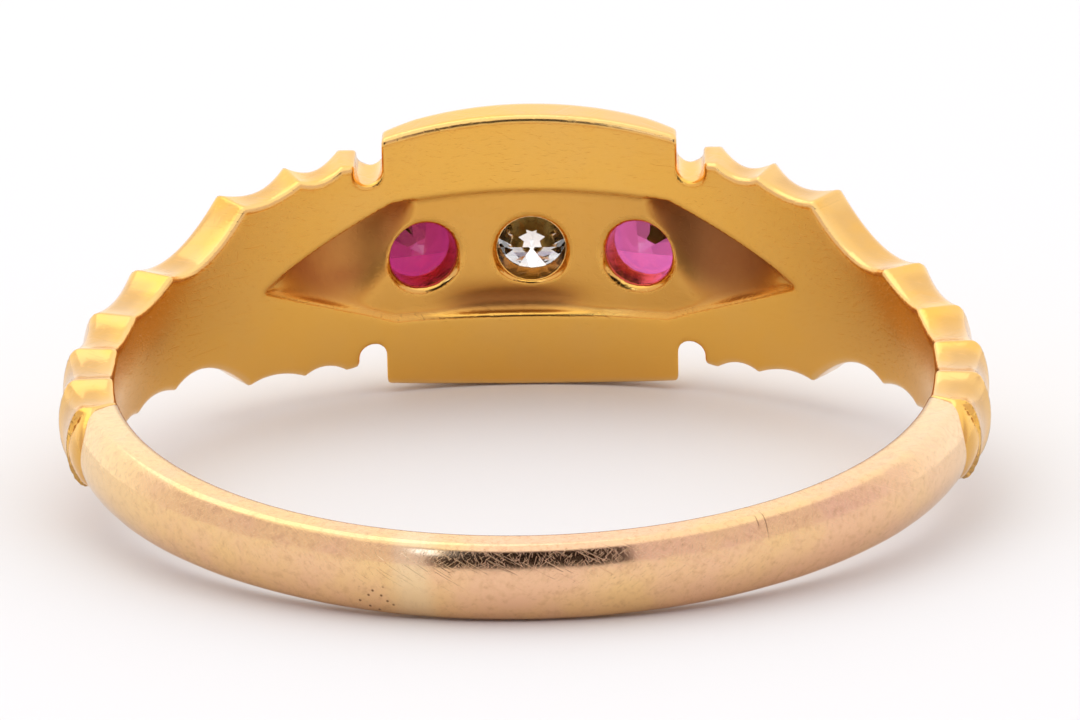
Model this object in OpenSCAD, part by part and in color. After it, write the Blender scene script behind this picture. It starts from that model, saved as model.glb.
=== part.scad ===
// Three-stone ring lying on its side: a plain, low-domed shank, scalloped shoulders and a broad head
// with a ruby, a diamond and a ruby in a row.
// The ring's own axis is first Z and its head is towards +Y, and the finished ring is then tipped
// back so that it rests on the lower edge of its head and on the back of its shank.

/* [Finger hole] */
// Radius of the finger hole
finger_r = 8.6; // [8:0.1:9.2]

/* [Shank] */
// Half of the shank's width along the finger
shank_half_w = 0.83; // [0.8:0.005:0.86]
// Thickness of the shank at its crown
shank_t = 0.92; // [0.85:0.01:1]
// Thickness of the shank's flat flank below its crown
shank_flank_t = 0.6; // [0.5:0.01:0.65]
// Angle from the middle of the head at which the shank starts
shank_from = 98; // [96:1:101]

/* [Head] */
// Half of the head's width at its middle
head_half_w = 3.215; // [3.1:0.005:3.3]
// Half of the head's width at its corners
head_corner_half_w = 2.91; // [2.85:0.01:3]
// Angle from the middle to a corner of the head
head_corner = 22.2; // [22:0.1:22.4]
// Thickness of the head at its middle
head_t = 1.95; // [1.9:0.05:2.1]
// Thickness of the head's middle line at the corners
head_corner_t = 1.78; // [1.74:0.01:1.8]
// Thickness of the head's rim
head_rim_t = 0.92; // [0.85:0.01:1]
// Thickness of the head's rim at the corners
head_corner_rim_t = 0.55; // [0.5:0.01:0.7]

/* [Notches] */
// Distance from the middle of the head to a notch, sideways
notch_x = 3.55; // [3.5:0.01:3.58]
// Radius of a notch's round end
notch_r = 0.3; // [0.27:0.01:0.3]
// Distance from the middle plane to a notch's round end
notch_half_w = 1.9; // [1.85:0.01:1.98]

/* [Recess behind the stones] */
// Depth of the recess behind the stones, below the finger hole's wall
recess_depth = 0.1; // [0.08:0.01:0.15]
// Depth of its two wings at their middle, beside the stones
wing_depth = 0.42; // [0.38:0.01:0.46]
// Distance from the middle of the head to the middle of a wing
wing_x = 4.3; // [4.2:0.1:4.5]
// Radius of a wing's hollow floor
wing_r = 2.6; // [2.4:0.1:2.8]
// Slope of a wing's floor, which is deepest at its upper edge
wing_slope = 18; // [15:1:20]
// Half of the recess's height at its middle
recess_half_h = 1.47; // [1.4:0.01:1.5]
// Half of the recess's height where its ends begin to narrow
recess_bend_half_h = 1.38; // [1.3:0.01:1.4]
// Distance from the middle to where the recess begins to narrow
recess_bend_x = 3.05; // [3:0.05:3.1]
// Distance from the middle to a tip of the recess
recess_tip_x = 5.8; // [5.6:0.1:5.9]

/* [Stones] */
// Angle between neighbouring stones
stone_step = 15.8; // [15.5:0.1:16]
// Radius of a stone at its girdle
stone_r = 1.25; // [1.2:0.01:1.26]
// Half of a stone's table from corner to corner
table_r = 0.72; // [0.68:0.01:0.76]
// Height of a stone's girdle
girdle_h = 0.05; // [0.04:0.01:0.06]
// Slope of a stone's crown facets
crown_angle = 33; // [30:1:35]
// Slope of a stone's pavilion facets
pavilion_angle = 45; // [43:0.5:46]
// Distance of a stone's girdle below the head's surface
stone_sink = 0.35; // [0.33:0.01:0.37]

/* [Seats] */
// Gap between a stone and its seat
seat_gap = 0.03; // [0.02:0.005:0.04]
// Radius of the hole behind a stone
back_hole_r = 0.76; // [0.7:0.01:0.8]
// Radius of the flare of that hole at the recess's floor
flare_r = 0.84; // [0.82:0.01:0.88]
// Depth of the flare
flare_depth = 0.1; // [0.08:0.01:0.12]
// Radius of the bright cut round a stone at the head's surface
bright_cut_r = 1.36; // [1.33:0.01:1.38]
// Radius of a grain that holds a stone
grain_r = 0.16; // [0.14:0.01:0.17]

/* [Hidden] */
$fn = 96;

// the head ends at this angle and the shoulder starts at the next, both inside a notch
head_end = asin(notch_x / finger_r) - 0.5;
shoulder_start = head_end + 1.2;
// One row for each edge between two scallops of a shoulder, from the head to the tongue's tip.
// Columns: angle, half width, middle thickness and rim thickness at that edge, then how far the
// scallop before it dips below a straight line in half width, in its middle and at its rim. The
// tongue swells instead, so its dip is below zero
edge_at = 0;
edge_w = 1;
edge_t = 2;
edge_rim_t = 3;
dip_w = 4;
dip_t = 5;
dip_rim_t = 6;
edges = [
    [shoulder_start, 2.36, 1.74, 1.10, 0, 0, 0],
    [28.6, 2.42, 1.70, 1.20, 0, 0, 0],
    [35.5, 2.32, 1.60, 1.10, 0.16, 0.14, 0.36],
    [45.7, 2.12, 1.48, 1.10, 0.14, 0.16, 0.36],
    [62.5, 1.34, 1.36, 1.00, 0.45, 0.12, 0.10],
    [75.0, 1.14, 1.26, 0.96, 0.14, 0.12, 0.14],
    [86.0, 1.06, 1.22, 0.94, 0.13, 0.12, 0.14],
    [95.5, 1.00, 1.20, 0.92, 0.12, 0.12, 0.14],
    [103.5, 0.90, 1.16, 0.86, 0.10, 0.10, 0.12],
    [109.0, 0.16, 1.02, 0.84, -0.14, 0, 0]
];
// the sections lean towards the head on their way out: angle, then degrees for each mm of thickness
leans = [[16, 0], [head_end, 2.5], [28.6, 2.4], [35.5, 1.3], [64, 0]];
// the tongue that closes a shoulder follows the shank's crown and stands this far above it
tongue_lap = 0.09;
// how full a section's crown is, where 1 is a parabola and less is rounder
crown_fullness = 0.8;
// how straight the recess narrows to its tips, where 1 is straight and less is fuller
recess_taper = 0.88;
recess_steps = 20;
// where a grain sits: from the stone's middle, and above its girdle
grain_at = 1.34;
grain_rise = 0.18;

// sections over one scallop, and from the middle of the head to a notch
scallop_steps = 8;
head_steps = 15;
// points over the crown of one section, from rim to rim
crown_points = 9;
// how far the sections reach inside the finger hole before it is bored
bore_allowance = 0.4;

// ring laid down: the tilt at which the head's lower edge and the shank's back both touch the floor
function shank_drop(a) = (finger_r + shank_flank_t) * sin(a) + shank_half_w * cos(a);
function head_drop(a) = head_half_w * cos(a) - finger_r * sin(a);
function tilt_between(low, high, steps) = let (mid = (low + high) / 2)
    steps == 0 ? mid
    : head_drop(mid) > shank_drop(mid) ? tilt_between(mid, high, steps - 1)
    : tilt_between(low, mid, steps - 1);
tilt = tilt_between(0, 20, 40);
rest_z = shank_drop(tilt);
// the ring's box reaches from the shank's back to the lower grains of the middle stone
front_y = (girdle_top(0) + grain_rise) * cos(tilt) + grain_at * sin(45) * sin(tilt) + grain_r;
back_reach = (finger_r + shank_t) * cos(tilt)
    + pow(shank_half_w * sin(tilt), 2) / (4 * (shank_t - shank_flank_t) * cos(tilt));
middle_y = (front_y - back_reach) / 2;

function mix_of(a, b, t) = a + (b - a) * t;
// parabola from 0 at both ends to 1 in the middle
function arch(t) = 4 * t * (1 - t);

// half width, middle thickness and rim thickness of the head at angle a
function head_size(a) = let (t = pow(a / head_corner, 2)) [
    mix_of(head_half_w, head_corner_half_w, t),
    mix_of(head_t, head_corner_t, t),
    mix_of(head_rim_t, head_corner_rim_t, t)
];
// the same three sizes at share t of the scallop that ends at edge i
function scallop_size(i, t) = let (before = edges[i - 1], row = edges[i]) [
    mix_of(before[edge_w], row[edge_w], t) - row[dip_w] * arch(t),
    mix_of(before[edge_t], row[edge_t], t) - row[dip_t] * arch(t),
    mix_of(before[edge_rim_t], row[edge_rim_t], t) - row[dip_rim_t] * arch(t)
];

// the shank's crown is a low parabola between its two flanks
function shank_crown(h) = finger_r + shank_flank_t
    + (shank_t - shank_flank_t) * max(0, 1 - pow(h / shank_half_w, 2));
function tongue_r(h, t) = shank_crown(h) + mix_of(tongue_lap, -tongue_lap, pow(t, 3));
// crown of a head or scallop section: highest in the middle and rounding down to the rim
function crown_r(size, h) = finger_r + size[2]
    + (size[1] - size[2]) * pow(max(0, 1 - pow(h / size[0], 2)), crown_fullness);

// one section is a closed loop of [distance from the ring's axis, height], inner side first
function section_loop(size, tongue_share) = concat(
    [[finger_r - bore_allowance, -size[0]], [finger_r - bore_allowance, size[0]]],
    [for (k = [0 : crown_points - 1]) let (h = size[0] * cos(180 * k / (crown_points - 1)))
        [tongue_share < 0 ? crown_r(size, h) : tongue_r(h, tongue_share), h]]
);

last_edge = len(edges) - 1;
// angle and loop of every section on one side, from the notch to the end of the tongue
shoulder_sections = [
    for (i = [1 : last_edge], k = [(i == 1 ? 0 : 1) : scallop_steps])
    let (t = (1 - cos(180 * k / scallop_steps)) / 2)
    [mix_of(edges[i - 1][edge_at], edges[i][edge_at], t),
        section_loop(scallop_size(i, t), i == last_edge ? t : -1)]
];
head_sections = [
    for (k = [-head_steps : head_steps]) let (a = head_end * k / head_steps)
    [a, section_loop(head_size(a), -1)]
];
mirrored_sections = [
    for (k = [len(shoulder_sections) - 1 : -1 : 0]) [-shoulder_sections[k][0], shoulder_sections[k][1]]
];
all_sections = concat(mirrored_sections, head_sections, shoulder_sections);

// angle of a point of the section at angle a, at distance r from the ring's axis
function leant(a, r) = a - sign(a) * lookup(abs(a), leans) * (r - finger_r);

module solid_through(sections) {
    loop_n = len(sections[0][1]);
    last = len(sections) - 1;
    points = [
        for (s = sections, p = s[1]) let (a = leant(s[0], p[0])) [p[0] * sin(a), p[0] * cos(a), p[1]]
    ];
    first_cap = [[for (j = [loop_n - 1 : -1 : 0]) j]];
    last_cap = [[for (j = [0 : loop_n - 1]) last * loop_n + j]];
    walls = [
        for (i = [0 : last - 1], j = [0 : loop_n - 1]) let (
            here = i * loop_n,
            next = here + loop_n,
            j_next = (j + 1) % loop_n
        ) each [
            [here + j, next + j_next, next + j],
            [here + j, here + j_next, next + j_next]
        ]
    ];
    polyhedron(points = points, faces = concat(first_cap, last_cap, walls), convexity = 12);
}

module shank() {
    crown_steps = 24;
    crown = [
        for (k = [0 : crown_steps]) let (h = shank_half_w * cos(180 * k / crown_steps)) [shank_crown(h), h]
    ];
    inner = finger_r - bore_allowance;
    outline = concat([[inner, -shank_half_w], [inner, shank_half_w]], crown);
    rotate([0, 0, 90 + shank_from])
        rotate_extrude(angle = 360 - 2 * shank_from, $fn = 180)
            polygon(outline);
}

// half height of the recess at distance x from its middle
function recess_h(x) = abs(x) <= recess_bend_x
    ? mix_of(recess_half_h, recess_bend_half_h, pow(x / recess_bend_x, 2))
    : recess_bend_half_h * pow((recess_tip_x - abs(x)) / (recess_tip_x - recess_bend_x), recess_taper);

module recess_prism(outline) {
    reach = finger_r + head_t;
    translate([0, reach, 0])
        rotate([90, 0, 0])
            linear_extrude(height = reach)
                polygon(outline);
}

module recess() {
    step = recess_tip_x / recess_steps;
    upper = [for (k = [-recess_steps : recess_steps]) [step * k, recess_h(step * k)]];
    lower = [for (k = [recess_steps - 1 : -1 : 1 - recess_steps]) [step * k, -recess_h(step * k)]];
    wing_at = asin(wing_x / finger_r);
    wing_axis_r = finger_r + wing_depth - wing_r / cos(wing_slope);
    intersection() {
        recess_prism(concat(upper, lower));
        union() {
            cylinder(r = finger_r + recess_depth, h = 2 * head_half_w, center = true);
            for (side = [-1, 1])
                rotate([0, 0, side * wing_at])
                    translate([0, wing_axis_r, 0])
                        rotate([-wing_slope, 0, 0])
                            cylinder(r = wing_r, h = 2 * head_half_w, center = true);
        }
    }
}

// slots through the metal from the finger side to the outside, all four in the same direction
module notches() {
    depth = finger_r + head_t;
    for (side = [-1, 1], face = [-1, 1])
        translate([side * notch_x, 0, face * (notch_half_w + notch_r)])
            rotate([-90, 0, 0]) {
                cylinder(r = notch_r, h = depth, $fn = 32);
                translate([-notch_r, face > 0 ? -head_half_w : 0, 0])
                    cube([2 * notch_r, head_half_w, depth]);
            }
}

// turns what is built along Z so that it points out of the head at angle a
module at_stone(a) {
    rotate([0, 0, -a]) rotate([-90, 0, 0]) children();
}

// distance from the ring's axis to the top of the girdle of the stone at angle a
function girdle_top(a) = finger_r + head_size(a)[1] - stone_sink;

module seat_cut(a) {
    top = girdle_top(a);
    bottom = top - girdle_h - seat_gap;
    floor_r = finger_r + recess_depth;
    wall_r = stone_r + seat_gap;
    above = top + stone_sink;
    at_stone(a)
        rotate_extrude($fn = 64)
            polygon([
                [0, finger_r],
                [flare_r, finger_r],
                [flare_r, floor_r],
                [back_hole_r, floor_r + flare_depth],
                [back_hole_r, bottom - (wall_r - back_hole_r) * tan(pavilion_angle)],
                [wall_r, bottom],
                [wall_r, top],
                [bright_cut_r, above],
                [bright_cut_r, above + stone_sink],
                [0, above + stone_sink]
            ]);
}

module grains(a) {
    at_stone(a)
        for (corner = [45 : 90 : 315])
            rotate([0, 0, corner])
                translate([grain_at, 0, girdle_top(a) + grain_rise])
                    sphere(r = grain_r, $fn = 32);
}

module laid_down() {
    translate([0, -middle_y, rest_z]) rotate([tilt, 0, 0]) children();
}

stone_angles = [-stone_step, 0, stone_step];

module shank_and_setting() {
    color([0.86, 0.66, 0.34])
        laid_down()
            union() {
                difference() {
                    union() {
                        shank();
                        solid_through(all_sections);
                    }
                    cylinder(r = finger_r, h = 3 * head_half_w, center = true, $fn = 180);
                    recess();
                    notches();
                    for (a = stone_angles) seat_cut(a);
                }
                for (a = stone_angles) grains(a);
            }
}

// Round cut stone with its girdle's top at height 0: a table, 8 star facets, 8 crown kites, 16 upper
// halves, a girdle of 16 sides, 16 lower halves and 8 pavilion kites that meet in a point
module cut_stone(r) {
    half = 360 / 16;
    crown_slope = tan(crown_angle);
    pavilion_slope = tan(pavilion_angle);
    mid_r = mix_of(table_r, r, 0.5);
    low_r = r * 0.3;
    table_h = (r - table_r) * crown_slope;
    mid_h = (r - mid_r * cos(half)) * crown_slope;
    low_h = -girdle_h - (r - low_r * cos(half)) * pavilion_slope;
    points = concat(
        [for (k = [0 : 7]) [table_r * cos(2 * k * half), table_r * sin(2 * k * half), table_h]],
        [for (k = [0 : 7]) [mid_r * cos((2 * k + 1) * half), mid_r * sin((2 * k + 1) * half), mid_h]],
        [for (k = [0 : 15]) [r * cos(k * half), r * sin(k * half), 0]],
        [for (k = [0 : 15]) [r * cos(k * half), r * sin(k * half), -girdle_h]],
        [for (k = [0 : 7]) [low_r * cos((2 * k + 1) * half), low_r * sin((2 * k + 1) * half), low_h]],
        [[0, 0, -girdle_h - r * pavilion_slope]]
    );
    mid_0 = 8;
    top_0 = 16;
    bottom_0 = 32;
    low_0 = 48;
    culet = 56;
    table = [[7, 6, 5, 4, 3, 2, 1, 0]];
    facets = [
        for (k = [0 : 7]) let (
            next = (k + 1) % 8,
            before = (k + 7) % 8,
            g = 2 * k,
            g_next = 2 * k + 1,
            g_after = (2 * k + 2) % 16
        ) each [
            [k, next, mid_0 + k],
            [k, mid_0 + k, top_0 + g],
            [k, top_0 + g, mid_0 + before],
            [mid_0 + k, top_0 + g_next, top_0 + g],
            [mid_0 + k, top_0 + g_after, top_0 + g_next],
            [low_0 + k, bottom_0 + g, bottom_0 + g_next],
            [low_0 + k, bottom_0 + g_next, bottom_0 + g_after],
            [culet, bottom_0 + g, low_0 + k],
            [culet, low_0 + before, bottom_0 + g]
        ]
    ];
    girdle = [
        for (k = [0 : 15]) let (next = (k + 1) % 16) each [
            [top_0 + k, top_0 + next, bottom_0 + next],
            [top_0 + k, bottom_0 + next, bottom_0 + k]
        ]
    ];
    polyhedron(points = points, faces = concat(table, facets, girdle), convexity = 2);
}

module set_stone(a) {
    laid_down() at_stone(a) translate([0, 0, girdle_top(a)]) cut_stone(stone_r);
}

module ruby_left() {
    color([0.72, 0.12, 0.35]) set_stone(-stone_step);
}

module diamond() {
    color([0.93, 0.94, 0.96]) set_stone(0);
}

module ruby_right() {
    color([0.85, 0.35, 0.6]) set_stone(stone_step);
}

shank_and_setting();
ruby_left();
diamond();
ruby_right();
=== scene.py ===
# Three-stone ring lying on its side. The frame holds the solids; this script gives them their finish.
import math

import bmesh
import bpy
import numpy as np
from mathutils import Matrix, Vector


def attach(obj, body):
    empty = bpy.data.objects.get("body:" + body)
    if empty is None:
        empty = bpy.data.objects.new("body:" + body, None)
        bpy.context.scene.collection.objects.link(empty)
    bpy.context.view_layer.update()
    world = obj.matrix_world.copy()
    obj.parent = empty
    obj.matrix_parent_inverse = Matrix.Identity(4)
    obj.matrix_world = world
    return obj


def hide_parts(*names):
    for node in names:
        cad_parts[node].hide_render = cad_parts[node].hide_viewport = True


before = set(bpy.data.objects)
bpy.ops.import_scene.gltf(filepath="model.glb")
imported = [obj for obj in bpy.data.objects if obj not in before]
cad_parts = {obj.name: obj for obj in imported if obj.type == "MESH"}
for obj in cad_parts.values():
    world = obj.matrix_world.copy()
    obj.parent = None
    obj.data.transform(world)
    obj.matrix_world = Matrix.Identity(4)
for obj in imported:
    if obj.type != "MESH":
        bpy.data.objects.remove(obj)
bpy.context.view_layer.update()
scene = bpy.context.scene
mm = 0.001
print("frame loaded:", sorted(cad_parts))

# how the ring lies: its tilt in degrees, then its axis' height and its shift along Y, both in mm
resting = {"tilt": 7.63154, "axisHeight": 2.04443, "middleY": 0.564319}
# radius of the finger hole in mm
fingerRadius = 8.6


# points in mm about the ring's own axis, turned by the tilt about X and lifted onto the floor, in metres
def layDown(points):
    tilt = math.radians(resting["tilt"])
    x, y, z = points[..., 0], points[..., 1], points[..., 2]
    laid = np.empty_like(points)
    laid[..., 0] = x
    laid[..., 1] = y * math.cos(tilt) - z * math.sin(tilt) - resting["middleY"]
    laid[..., 2] = y * math.sin(tilt) + z * math.cos(tilt) + resting["axisHeight"]
    return laid * mm


# radius, angle in degrees from the head's middle, and height along the finger, to x, y and z
def ringPoint(radius, angle, height):
    turn = np.radians(angle)
    radius, turn, height = np.broadcast_arrays(radius, turn, height)
    return np.stack([radius * np.sin(turn), radius * np.cos(turn), height], axis=-1)


# value between low and high at share t
def mixOf(low, high, t):
    return low + (high - low) * t


# 0 below low, 1 above high and a smooth rise between
def smoothStep(low, high, value):
    t = np.clip((value - low) / (high - low), 0, 1)
    return t * t * (3 - 2 * t)


# quads between neighbouring points of a grid, around its closed second direction, as one index array
def gridQuads(rows, columns):
    here = np.arange(rows * columns).reshape(rows, columns)
    beside = np.roll(here, -1, axis=1)
    return np.stack([here[:-1], here[1:], beside[1:], beside[:-1]], axis=-1).reshape(-1, 4)


# a closed tube from a grid of loops: quads between the loops and one flat face at each end
def tubeMesh(name, loops):
    rows, columns = loops.shape[:2]
    quads = gridQuads(rows, columns)
    firstCap = np.arange(columns).tolist()
    lastCap = (np.arange(columns)[::-1] + (rows - 1) * columns).tolist()
    mesh = bpy.data.meshes.new(name)
    mesh.from_pydata(loops.reshape(-1, 3), [], quads.tolist() + [firstCap, lastCap])
    turnOutward(mesh)
    return mesh


# every face points away from the inside of its closed shell
def turnOutward(mesh):
    work = bmesh.new()
    work.from_mesh(mesh)
    bmesh.ops.recalc_face_normals(work, faces=work.faces)
    work.to_mesh(mesh)
    work.free()


def newObject(name, mesh):
    made = bpy.data.objects.new(name, mesh)
    scene.collection.objects.link(made)
    return made


# the view
view = {
    "distance": 138.6, "elevation": 14.964, "azimuth": 1.13, "roll": -0.82,
    "target": (0.328, -0.564319, 2.975), "pixelsPerMm": 47.598, "pictureWidth": 1080,
    "sensor": 36, "clip": (0.01, 20),
}


# the camera stands at its distance from the target along the line of sight, turned by the roll about it
def makeCamera():
    azimuth, elevation = math.radians(view["azimuth"]), math.radians(view["elevation"])
    roll = math.radians(view["roll"])
    back = Vector((
        math.sin(azimuth) * math.cos(elevation),
        -math.cos(azimuth) * math.cos(elevation),
        math.sin(elevation),
    ))
    right = Vector((math.cos(azimuth), math.sin(azimuth), 0))
    up = back.cross(right)
    right, up = right * math.cos(roll) + up * math.sin(roll), up * math.cos(roll) - right * math.sin(roll)
    data = bpy.data.cameras.new("photoView")
    data.sensor_width = view["sensor"]
    data.lens = view["sensor"] * view["pixelsPerMm"] * view["distance"] / view["pictureWidth"]
    data.clip_start, data.clip_end = view["clip"]
    camera = bpy.data.objects.new("photoView", data)
    scene.collection.objects.link(camera)
    place = (Vector(view["target"]) + back * view["distance"]) * mm
    camera.matrix_world = Matrix((
        (right.x, up.x, back.x, place.x),
        (right.y, up.y, back.y, place.y),
        (right.z, up.z, back.z, place.z),
        (0, 0, 0, 1),
    ))
    scene.camera = camera


makeCamera()
print("camera placed")


# node helpers
# makes a node, sets its properties and its input values, and links the inputs that are given as sockets
def addNode(tree, kind, inputs=None, **properties):
    node = tree.nodes.new(kind)
    for key, value in properties.items():
        setattr(node, key, value)
    for key, value in (inputs or {}).items():
        socket = node.inputs[key]
        if isinstance(value, bpy.types.NodeSocket):
            tree.links.new(value, socket)
        else:
            socket.default_value = value
    return node


def mathNode(tree, operation, first, second=0.5):
    return addNode(tree, "ShaderNodeMath", {0: first, 1: second}, operation=operation).outputs[0]


def multiplied(tree, first, second):
    return mathNode(tree, "MULTIPLY", first, second)


def added(tree, first, second):
    return mathNode(tree, "ADD", first, second)


def distanceFrom(tree, value, middle):
    return mathNode(tree, "ABSOLUTE", mathNode(tree, "SUBTRACT", value, middle))


# the largest of several masks
def largestOf(tree, masks):
    largest = masks[0]
    for mask in masks[1:]:
        largest = mathNode(tree, "MAXIMUM", largest, mask)
    return largest


def noiseNode(tree, vector, **values):
    return addNode(tree, "ShaderNodeTexNoise", {"Vector": vector, **values}).outputs["Fac"]


# 0 below low, 1 above high and a smooth rise between, as a socket
def smoothRange(tree, value, low, high, toLow=0.0, toHigh=1.0):
    node = addNode(
        tree, "ShaderNodeMapRange",
        {"Value": value, "From Min": low, "From Max": high, "To Min": toLow, "To Max": toHigh},
        interpolation_type="SMOOTHSTEP",
    )
    return node.outputs["Result"]


# a color laid over a tone by a share
def tint(tree, tone, share, color):
    colors = {"Factor": share, "A": tone, "B": (*color, 1)}
    return addNode(tree, "ShaderNodeMix", colors, data_type="RGBA").outputs["Result"]


def mixFloat(tree, share, first, second):
    values = {0: share, 2: first, 3: second}
    return addNode(tree, "ShaderNodeMix", values, data_type="FLOAT").outputs[0]


# light
studio = {
    "strength": 1.25,
    "overhead": (1.04, 1.04, 1.04), "back": (1.03, 1.03, 1.04), "front": (0.7, 0.63, 0.72),
    # between front and back in Y, and the front band's top in Z with its softness
    "turnsBack": (-0.1, 0.55), "bandTop": 0.67, "bandSoftness": 0.14,
    # the dark panel's middle and half width in degrees, and where its foot and top fade in Z
    "dark": (0.012, 0.007, 0.004), "darkAzimuth": 2.0, "darkHalfWidth": 24.5,
    "darkFoot": (-0.02, 0.01), "darkTop": (0.45, 0.7),
    # a small bright window at the panel's edge: its lower and upper Z and their softness
    "window": (1.5, 1.8, 2.5), "windowAzimuth": -23.0, "windowHalfWidth": 4.0,
    "windowHeight": (0.27, 0.5), "windowSoftness": 0.03,
    # the fade at both sides of panel and window, in shares of their half width
    "sideFade": (0.86, 1.1),
    "softbox": {"place": (-0.2, 0.15, 0.5), "size": (0.5, 0.4), "power": 0.35, "color": (1, 0.98, 0.96)},
}


# share that is 1 within half a width in degrees of a middle azimuth and falls off softly beyond
def azimuthShare(tree, turn, middle, half):
    fade = [math.radians(half * share) for share in studio["sideFade"]]
    return smoothRange(tree, distanceFrom(tree, turn, math.radians(middle)), *fade, 1.0, 0.0)


# a pale room by direction: bright above and behind, a greyer band in front up to about forty degrees, one
# dark panel in the middle of that band and a small bright window at the panel's edge
def makeWorld():
    world = bpy.data.worlds.new("studio")
    scene.world = world
    world.use_nodes = True
    tree = world.node_tree
    tree.nodes.clear()
    direction = addNode(tree, "ShaderNodeTexCoord").outputs["Generated"]
    axes = addNode(tree, "ShaderNodeSeparateXYZ", {0: direction}).outputs
    behind = smoothRange(tree, axes["Y"], *studio["turnsBack"])
    band = tint(tree, (*studio["front"], 1), behind, studio["back"])
    turn = mathNode(tree, "ARCTAN2", axes["X"], multiplied(tree, axes["Y"], -1.0))
    panel = azimuthShare(tree, turn, studio["darkAzimuth"], studio["darkHalfWidth"])
    panel = multiplied(tree, panel, smoothRange(tree, axes["Z"], *studio["darkFoot"]))
    band = tint(tree, band, panel, studio["dark"])
    top, softness = studio["bandTop"], studio["bandSoftness"]
    high = smoothRange(tree, axes["Z"], top - softness, top + softness)
    high = mixFloat(tree, panel, high, smoothRange(tree, axes["Z"], *studio["darkTop"]))
    room = tint(tree, band, high, studio["overhead"])
    (sill, lintel), soft = studio["windowHeight"], studio["windowSoftness"]
    window = azimuthShare(tree, turn, studio["windowAzimuth"], studio["windowHalfWidth"])
    above = smoothRange(tree, axes["Z"], sill - soft, sill + soft)
    below = smoothRange(tree, axes["Z"], lintel - soft, lintel + soft, 1.0, 0.0)
    window = multiplied(tree, multiplied(tree, window, above), below)
    room = tint(tree, room, window, studio["window"])
    background = addNode(tree, "ShaderNodeBackground", {"Color": room, "Strength": studio["strength"]})
    output = addNode(tree, "ShaderNodeOutputWorld")
    tree.links.new(background.outputs[0], output.inputs["Surface"])


def makeSoftbox(name, box):
    data = bpy.data.lights.new(name, "AREA")
    data.shape = "RECTANGLE"
    data.size, data.size_y = box["size"]
    data.energy = box["power"]
    data.color = box["color"]
    lamp = bpy.data.objects.new(name, data)
    lamp.location = Vector(box["place"])
    lamp.rotation_mode = "QUATERNION"
    lamp.rotation_quaternion = (-Vector(box["place"])).to_track_quat("-Z", "Y")
    scene.collection.objects.link(lamp)


makeWorld()
makeSoftbox("softbox", studio["softbox"])
scene.view_settings.view_transform = "Standard"
print("light made")


def newMaterial(name):
    material = bpy.data.materials.new(name)
    material.use_nodes = True
    return material, material.node_tree, material.node_tree.nodes["Principled BSDF"]


floorLook = {"half": 0.8, "color": (0.815, 0.805, 0.795), "roughness": 0.75, "specular": 0.25}


def makeFloor():
    half = floorLook["half"]
    corners = [(-half, -half, 0), (half, -half, 0), (half, half, 0), (-half, half, 0)]
    mesh = bpy.data.meshes.new("floor")
    mesh.from_pydata(corners, [], [(0, 1, 2, 3)])
    floor = newObject("floor", mesh)
    material, _, shader = newMaterial("paperWhite")
    shader.inputs["Base Color"].default_value = (*floorLook["color"], 1)
    shader.inputs["Roughness"].default_value = floorLook["roughness"]
    shader.inputs["Specular IOR Level"].default_value = floorLook["specular"]
    mesh.materials.append(material)


makeFloor()
print("floor made")


# shank
shankSizes = {
    "from": 98.0, "sections": 400,
    "halfWidth": (0.82, 0.845), "crown": (0.8, 1.04), "flank": (0.56, 0.66), "taper": (30.0, 82.0),
    "innerEdge": 0.08, "outerEdge": 0.13, "mapRise": 0.9,
    # points along each stretch of half a section
    "counts": {"wall": 9, "innerEdge": 6, "flank": 6, "outerEdge": 10, "crown": 32},
    # wear of the outer face: its depth, the rises between which it sets in, its mean, and rows of waves as
    # size, turns round the ring, turn for each mm of height, and start
    "wear": 0.007, "wornFrom": (0.1, 0.5), "meanWear": 1.1,
    "waves": ((0.275, 9, 2.1, 1.0), (0.275, 9, -2.1, 0.2), (0.33, 23, 1.9, 0.0), (0.2475, 41, -2.6, 1.1)),
    # under a shoulder the end is narrower, and shrinks by a little towards a middle rise
    "hiddenUntil": 101.6, "shownFrom": 102.6,
    "hiddenBy": 0.05, "hiddenNarrower": 0.12, "hiddenMiddle": 0.3,
}


# half width, crown and flank of the shank at each angle: thinnest in the middle, thicker to the shoulders
def shankSize(angles):
    s = shankSizes
    fromMiddle = 180 - np.abs(angles - 360 * (angles > 180))
    share = smoothStep(*s["taper"], fromMiddle)
    return tuple(mixOf(*s[key], share) for key in ("halfWidth", "crown", "flank"))


# radius of the shank's outer face at an angle and height: its flank, plus a low parabola over the width
def shankCrown(angles, height):
    half, crown, flank = shankSize(angles)
    return fingerRadius + flank + (crown - flank) * np.maximum(0, 1 - (height / half) ** 2)


# a curve from first to last that leaves and arrives along the lines to the corner between them
def roundOff(first, corner, last, count):
    t = np.linspace(0, 1, count, endpoint=False)
    return first * (1 - t) ** 2 + corner * 2 * t * (1 - t) + last * t ** 2


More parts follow.
